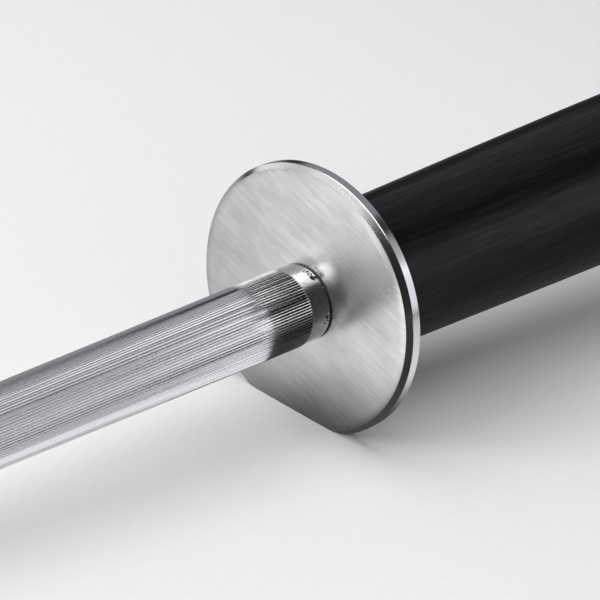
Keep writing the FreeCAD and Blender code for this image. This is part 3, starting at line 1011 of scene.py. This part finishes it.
@dataclass
class Grip:
    """Round black grip that swells towards a rounded butt."""

    wood: bpy.types.Material
    points: int = 160
    bore_radius: float = 8.5 * MM
    bore_depth: float = 18.0 * MM
    front_bore_radius: float = 6.8 * MM
    rounding: float = 0.25 * MM
    swell: tuple[Point, ...] = (            # mm behind the guard, radius in mm
        (0, 12.10), (30, 12.93), (60, 13.70), (88, 14.20), (108, 13.95), (117, 13.30))
    swell_steps: int = 8
    butt_radius: float = 12.3 * MM
    butt_bulge: float = 0.55 * MM
    butt_steps: int = 6
    low: Vector = field(default_factory=lambda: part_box("handle_grip")[0])
    high: Vector = field(default_factory=lambda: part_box("handle_grip")[1])

    def swell_curve(self) -> list[Point]:
        """Smooth curve through the swell's points.

        Returns:
            (x, radius) points from the guard to the butt's rounding.
        """
        knots = [(self.high.x - back * MM, radius * MM) for back, radius in self.swell]
        slopes = []
        for i in range(len(knots)):
            before, after = knots[max(0, i - 1)], knots[min(len(knots) - 1, i + 1)]
            slopes.append((after[1] - before[1]) / (after[0] - before[0]))
        points = []
        for (x0, r0), (x1, r1), m0, m1 in zip(knots, knots[1:], slopes, slopes[1:]):
            span = x1 - x0
            for i in range(self.swell_steps):
                t = i / self.swell_steps
                leaving = (2 * t ** 3 - 3 * t ** 2 + 1) * r0 + (t ** 3 - 2 * t ** 2 + t) * span * m0
                arriving = (3 * t ** 2 - 2 * t ** 3) * r1 + (t ** 3 - t ** 2) * span * m1
                points.append((x0 + span * t, leaving + arriving))
        return points + [knots[-1]]

    def build(self) -> bpy.types.Object:
        """Builds the grip.

        Returns:
            The grip.
        """
        curve = self.swell_curve()
        start_x, start_r = curve[0]
        end_x, end_r = curve[-1]
        shoulder = (start_x - self.rounding, start_r - self.rounding)
        outline = [(start_x, self.front_bore_radius), (start_x, shoulder[1])]
        outline += arc(shoulder, self.rounding, start=60, end=90, steps=2)
        outline += [point for point in curve if point[0] < shoulder[0]]
        for i in range(1, self.butt_steps):
            share = i / self.butt_steps
            bulge = 4 * share * (1 - share) * self.butt_bulge
            outline.append((end_x + (self.low.x - end_x) * share - bulge,
                            end_r + (self.butt_radius - end_r) * share + bulge))
        outline += [(self.low.x, self.butt_radius), (self.low.x, self.bore_radius),
                    (self.low.x + self.bore_depth, self.bore_radius)]
        mesh = bmesh.new()
        turned(mesh, outline, self.points)
        piece = object_from_bmesh("grip", mesh, [self.wood], smooth_angle=40.0)
        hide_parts("handle_grip")
        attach(piece, Body.STEEL.value)
        LOG.info("grip: %.0f mm long", (self.high.x - self.low.x) / MM)
        return piece


@dataclass
class Fixings:
    """Pieces kept as they were designed: what is inside the grip, and the cap, its screws and its gasket."""

    finishes: dict[str, bpy.types.Material]
    nodes: dict[str, tuple[str, ...]] = field(default_factory=lambda: {
        "plain": ("guard_pin_1", "guard_pin_2", "tang_washer", "spring_washer", "tang_nut", "swivel_washer",
                  "swivel_clip"),
        "screw": ("cap_screw_1", "cap_screw_2", "cap_screw_3"),
        "turned": ("butt_cap",),
        "brass": ("front_bush", "rear_bush"),
        "rubber": ("front_gasket", "butt_gasket"),
    })

    def dress(self) -> None:
        """Gives each node its finish."""
        for finish, names in self.nodes.items():
            for name in names:
                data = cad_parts[name].data
                data.materials.clear()
                data.materials.append(self.finishes[finish])
                LOG.info("%s: %s", name, self.finishes[finish].name)


@dataclass
class SwivelEye:
    """Eye on a post that turns in the cap."""

    metal: bpy.types.Material
    post_radius: float = 2.5 * MM
    post_chamfer: float = 0.3 * MM
    collar_radius: float = 4.2 * MM
    collar_thickness: float = 1.2 * MM
    collar_profile: tuple[Point, ...] = (       # mm behind the lug, mm under the collar's radius
        (-0.15, 0.5), (0.0, 0.25), (0.25, 0.0), (1.0, 0.0), (1.2, 0.2))
    lug_radius: float = 4.0 * MM
    lug_thickness: float = 3.2 * MM
    lug_rounding: float = 0.35 * MM
    hole_radius: float = 1.5 * MM
    hole_rounding: float = 0.3 * MM
    mouth_profile: tuple[Point, ...] = ((1.0, 0.0), (0.3, 0.3), (0.0, 1.0))     # shares of the rounding
    points: int = 64
    low: Vector = field(default_factory=lambda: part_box("swivel_eye")[0])
    high: Vector = field(default_factory=lambda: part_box("swivel_eye")[1])

    def lug_outline(self, scale: float) -> list[Point]:
        """Outline of the lug about the hole: round behind, square where it meets the collar.

        Args:
            scale: size of the outline, as a share of the lug's.

        Returns:
            Its points in X and Z.
        """
        points = []
        for i in range(self.points):
            turn = FULL_TURN * i / self.points
            reach = self.lug_radius
            if math.cos(turn) > TINY:
                reach = self.lug_radius / max(abs(math.cos(turn)), abs(math.sin(turn)))
            points.append((reach * scale * math.cos(turn), reach * scale * math.sin(turn)))
        return points

    def hole_outline(self, radius: float) -> list[Point]:
        """Circle of the hole, point for point beside the lug's outline."""
        turns = [FULL_TURN * i / self.points for i in range(self.points)]
        return [(radius * math.cos(a), radius * math.sin(a)) for a in turns]

    def lug_loops(self) -> list[tuple[list[Point], float]]:
        """Shapes the lug as a closed band of outlines round its edge and through its hole.

        Returns:
            Each outline in X and Z, and its place along Y.
        """
        half, edge, mouth = self.lug_thickness / 2, self.lug_rounding, self.hole_rounding
        inset, full = self.lug_outline(1 - edge / self.lug_radius), self.lug_outline(1.0)
        loops = [(inset, half), (full, half - edge), (full, -half + edge), (inset, -half)]
        loops += [(self.hole_outline(self.hole_radius + out * mouth), -half + deep * mouth)
                  for out, deep in self.mouth_profile]
        loops += [(self.hole_outline(self.hole_radius + out * mouth), half - deep * mouth)
                  for out, deep in reversed(self.mouth_profile)]
        return loops

    def build(self) -> bpy.types.Object:
        """Builds the eye, its collar and its post.

        Returns:
            The swivel eye.
        """
        centre_x = self.low.x + self.lug_radius
        collar_x = centre_x + self.lug_radius
        mesh = bmesh.new()
        loops = [[mesh.verts.new((centre_x + x, y, z)) for x, z in outline]
                 for outline, y in self.lug_loops()]
        join_loops(mesh, loops, closed=True)
        profile = [(collar_x + behind * MM, self.collar_radius - under * MM)
                   for behind, under in self.collar_profile]
        profile += [(collar_x + self.collar_thickness, self.post_radius),
                    (self.high.x - self.post_chamfer, self.post_radius),
                    (self.high.x, self.post_radius - self.post_chamfer)]
        stack_rings(mesh, [circle_about_x(x, radius, self.points) for x, radius in profile])
        piece = object_from_bmesh("swivel_eye_post", mesh, [self.metal], smooth_angle=35.0)
        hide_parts("swivel_eye")
        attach(piece, Body.SWIVEL.value)
        LOG.info("swivel_eye_post: hole %.1f mm across", 2 * self.hole_radius / MM)
        return piece


@dataclass
class HangingRing:
    """Closed wire ring with the faint swelling of its welded joint."""

    metal: bpy.types.Material
    wire_radius: float = 1.1 * MM
    snug: float = 0.998             # keeps the wire inside its designed size
    weld_swelling: float = 0.05
    weld_width: float = 0.07
    weld_place: float = 0.75        # share of the way round: the bottom
    around: int = 128
    across: int = 24
    low: Vector = field(default_factory=lambda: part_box("hanging_ring")[0])
    high: Vector = field(default_factory=lambda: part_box("hanging_ring")[1])

    def build(self) -> bpy.types.Object:
        """Builds the ring.

        Returns:
            The ring, hanging straight down through the eye.
        """
        centre = (self.low + self.high) / 2
        mean_radius = (self.high.y - self.low.y) / 2 - self.wire_radius
        mesh = bmesh.new()
        loops = []
        for i in range(self.around):
            turn = FULL_TURN * i / self.around
            from_weld = (i / self.around - self.weld_place) * FULL_TURN
            swelling = self.weld_swelling * math.exp(-(from_weld / self.weld_width) ** 2)
            wire = self.wire_radius * (1 + swelling) * self.snug
            outward = Vector((0, math.cos(turn), math.sin(turn)))
            angles = [FULL_TURN * j / self.across for j in range(self.across)]
            loops.append([mesh.verts.new(centre + outward * (mean_radius + wire * math.cos(a))
                                         + Vector((wire * math.sin(a), 0, 0))) for a in angles])
        join_loops(mesh, loops, closed=True)
        piece = object_from_bmesh("wire_ring", mesh, [self.metal], smooth_angle=60.0)
        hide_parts("hanging_ring")
        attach(piece, Body.RING.value)
        LOG.info("wire_ring: %.1f mm across outside", (self.high.y - self.low.y) / MM)
        return piece


# ---- Studio ----

@dataclass(frozen=True)
class SoftBox:
    """One soft light, by the direction it shines from, in degrees, metres and watts."""

    name: str
    azimuth: float
    elevation: float
    distance: float
    width: float
    height: float
    watts: float
    tint: str = "#ffffff"
    in_metal: bool = True

    def build(self, target: Vector) -> bpy.types.Object:
        """Builds the light, facing its target.

        Args:
            target: the point that it faces.

        Returns:
            The light.
        """
        data = bpy.data.lights.new(self.name, "AREA")
        data.shape = "RECTANGLE"
        data.size = self.width
        data.size_y = self.height
        data.energy = self.watts
        data.color = srgb(self.tint)[:3]
        light = bpy.data.objects.new(self.name, data)
        turn, rise = math.radians(self.azimuth), math.radians(self.elevation)
        outward = Vector((math.cos(rise) * math.cos(turn), math.cos(rise) * math.sin(turn), math.sin(rise)))
        light.location = target + outward * self.distance
        light.rotation_mode = "QUATERNION"
        light.rotation_quaternion = (-outward).to_track_quat("-Z", "Y")
        light.visible_camera = False
        light.visible_glossy = self.in_metal
        bpy.context.scene.collection.objects.link(light)
        return light


@dataclass
class Studio:
    """Pale table, soft light and the camera."""

    table_top: bpy.types.Material
    painted_table_reflection: bpy.types.Material
    table_size: float = 12.0
    painted_reflection_centre: tuple[float, float, float] = (-4 * MM, 9 * MM, -0.05 * MM)    # centre of the painted reflection's pattern, just under the table top
    azimuth: float = 40.68
    elevation: float = 28.02
    roll: float = 6.36
    distance: float = 478.0 * MM
    aim: tuple[float, float, float] = (0.327 * MM, -0.306 * MM, 0.277 * MM)
    lens: float = 180.0
    sensor: float = 36.0
    room_glow: float = 0.014        # light of the dim room on the steel
    backdrop: float = 0.84          # level of the pale backdrop, which only the lens sees
    boxes: tuple[SoftBox, ...] = (
        SoftBox("overhead", 276.0, 84.0, 1.00, 0.60, 1.50, 7.2),
        SoftBox("window", 348.0, 37.0, 1.00, 0.62, 0.34, 3.0),
        SoftBox("window_wall", 320.0, 33.0, 1.05, 1.20, 1.25, 3.5),
        SoftBox("back_wall", 205.0, 36.0, 1.00, 0.90, 0.90, 0.85, tint="#f1effa"),
        SoftBox("low_card", 135.0, 12.0, 1.00, 0.80, 0.50, 1.45, tint="#f6f5fc"),
        SoftBox("high_card", 136.0, 31.0, 1.00, 0.55, 0.40, 0.38, tint="#f6f5fc"),
        SoftBox("side_card", 268.0, 20.0, 1.00, 0.50, 0.50, 0.85),
        SoftBox("low_window", 330.0, 16.0, 1.00, 0.60, 0.60, 4.6, in_metal=False),
        SoftBox("low_front", 20.0, 16.0, 1.00, 0.60, 0.60, 1.2, in_metal=False),
        SoftBox("high_front", 45.0, 62.0, 1.00, 0.60, 0.60, 0.8, in_metal=False),
    )

    def table_tilt(self) -> float:
        """Slope of the table under the steel, which lies on the guard's flat and on the rod's tip.

        Returns:
            The angle in radians by which the table rises towards the tip, in the frame's axes.
        """
        flat_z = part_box("guard_disc")[0].z
        tip_radius = RibbedRod.tip_radius
        centre_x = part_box("sharpening_rod")[1].x - tip_radius
        return math.atan2(-flat_z, centre_x) - math.asin(tip_radius / math.hypot(flat_z, centre_x))

    def build_table(self) -> None:
        """Builds the table top that the steel lies on.

        The lens and the dull surfaces see a pale matt sheet. The bright metal sees a glowing sheet just under
        it instead: a painted reflection of the table, bright where the window would be mirrored, dim where
        the room behind the camera is dark, with a painted shadow round the guard.
        """
        contact = Matrix.Translation((0, 0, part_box("guard_disc")[0].z))
        lie = contact @ Matrix.Rotation(-self.table_tilt(), 4, "Y")
        # The second sheet glows with a painted reflection of the table and a painted shadow round the guard,
        # for the metal alone.
        for name, material, place, in_metal in (
                ("table_top", self.table_top, (0.0, 0.0, 0.0), False),
                ("painted_table_reflection", self.painted_table_reflection, self.painted_reflection_centre, True)):
            mesh = bmesh.new()
            bmesh.ops.create_grid(mesh, x_segments=2, y_segments=2, size=self.table_size / 2)
            sheet = object_from_bmesh(name, mesh, [material])
            sheet.matrix_world = lie @ Matrix.Translation(place)
            sheet.visible_glossy = in_metal
            sheet.visible_camera = not in_metal
            sheet.visible_diffuse = not in_metal
            sheet.visible_shadow = False

    def build_room(self) -> None:
        """Fills the room with an even, dim light, and shows the lens a pale backdrop past the table's end."""
        world = bpy.data.worlds.new("room")
        world.use_nodes = True
        tree = world.node_tree
        tree.nodes.clear()
        seen = add_node(tree, "ShaderNodeLightPath").outputs["Is Camera Ray"]
        glow = add_node(tree, "ShaderNodeBackground", values={"Color": grey(self.room_glow)})
        backdrop = add_node(tree, "ShaderNodeBackground", values={"Color": grey(self.backdrop)})
        either = add_node(tree, "ShaderNodeMixShader", links={
            0: seen, 1: glow.outputs["Background"], 2: backdrop.outputs["Background"]})
        add_node(tree, "ShaderNodeOutputWorld", links={"Surface": either.outputs["Shader"]})
        bpy.context.scene.world = world

    def build_camera(self) -> bpy.types.Object:
        """Sets the camera above and beside the rod, looking at the guard's face.

        Returns:
            The camera.
        """
        turn, rise, roll = (math.radians(a) for a in (self.azimuth, self.elevation, self.roll))
        back = Vector((math.cos(rise) * math.cos(turn), math.cos(rise) * math.sin(turn), math.sin(rise)))
        right = Vector((0, 0, 1)).cross(back).normalized()
        up = back.cross(right)
        side = right * math.cos(roll) + up * math.sin(roll)
        top = up * math.cos(roll) - right * math.sin(roll)
        data = bpy.data.cameras.new("camera")
        data.lens = self.lens
        data.sensor_width = self.sensor
        data.clip_start = 0.01
        data.clip_end = 50.0
        camera = bpy.data.objects.new("camera", data)
        camera.rotation_mode = "QUATERNION"
        camera.rotation_quaternion = Matrix((side, top, back)).transposed().to_quaternion()
        camera.location = Vector(self.aim) + back * self.distance
        bpy.context.scene.collection.objects.link(camera)
        bpy.context.scene.camera = camera
        return camera

    def build(self) -> None:
        """Builds the whole studio."""
        self.build_camera()
        self.build_table()
        self.build_room()
        for box in self.boxes:
            box.build(Vector((0, 0, 0)))
        bpy.context.scene.view_settings.view_transform = "Standard"
        LOG.info("studio: table tilted %.2f degrees", math.degrees(self.table_tilt()))


def main() -> None:
    logging.basicConfig(level=logging.INFO, format="%(message)s")
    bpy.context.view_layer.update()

    # Hard chromed over rolled ribs: white and black lines near the guard, the black lines partly painted
    # shade in the groove bottoms; silkier where blades have run.
    chromed = WorkedSteel("tool_steel_hard_chromed", "#e3e3e4", 0.09, mark_across=0.5 * MM,
                          mark_depth=0.001 * MM, roughness_spread=0.03, scuffed=0.21, shaded_grooves=True)
    # Fine ground on a lathe: a bright band along the collar, a little drawn out and uneven in tone.
    collar = WorkedSteel("tool_steel_fine_ground", "#bdbdbe", 0.14, Grain.TURNED, drawn_out=0.4,
                         mark_across=0.28 * MM, mark_along=0.5 * MM, mark_depth=0.003 * MM,
                         roughness_spread=0.04, tone_spread=0.22)
    # Brushed by hand along one line: a wide soft sheen that clouds over, with a few bright scratches.
    brushed = BrushedPlate()
    # Turned and polished: a clear highlight with faint rings.
    lathe = WorkedSteel("stainless_steel_turned", "#d6d6d6", 0.21, Grain.TURNED, drawn_out=0.35,
                        mark_across=0.12 * MM, mark_along=12 * MM, mark_depth=0.001 * MM,
                        roughness_spread=0.03)
    # Drawn wire, chromed: nearly a mirror, with a slow waviness.
    wire = WorkedSteel("steel_wire_chromed", "#d6d6d8", 0.12, mark_across=1.5 * MM, mark_depth=0.001 * MM)
    # Zinc plated in a barrel: grey, dull and slightly patchy.
    plain = WorkedSteel("steel_zinc_plated", "#b9bab8", 0.32, mark_across=0.6 * MM)
    # Stained, oiled and buffed: nearly black with a soft gloss that the pores break up.
    wood = StainedWood()
    # Turned brass, left to dull: warm yellow with a soft shine.
    brass = PlainSurface("brass_turned", "#c9a35a", 0.3, metallic=1.0)
    # Oil that has caught dust: matt and nearly black.
    grime = PlainSurface("oil_and_dust_in_the_seam", "#101010", 0.6)
    # Moulded in a blasted mould: dark grey without a clear highlight.
    rubber = PlainSurface("nitrile_rubber_moulded", "#1c1c1c", 0.65)
    # Melamine coated board: even, pale and matt; its satin sheen in the metal is a painted reflection on a
    # glowing sheet of its own.
    board = TableTop(PlainSurface("table_board_coated_white", "#ebebeb", 0.7, mottle_size=2 * MM,
                                  tone_spread=0.01))

    RibbedRod(chromed.material(), collar.material(), grime.material()).build()
    Guard(brushed.material(), lathe.material()).build()
    Grip(wood.material()).build()
    SwivelEye(lathe.material()).build()
    HangingRing(wire.material()).build()
    Fixings({"plain": plain.material(), "screw": plain.material(), "turned": lathe.material(),
             "brass": brass.material(), "rubber": rubber.material()}).dress()
    # The studio gives the metal a painted reflection of the table, with a painted shadow round the guard.
    Studio(board.material(), PaintedTableReflection().material()).build()

    bpy.context.view_layer.update()


if __name__ == "__main__":
    main()
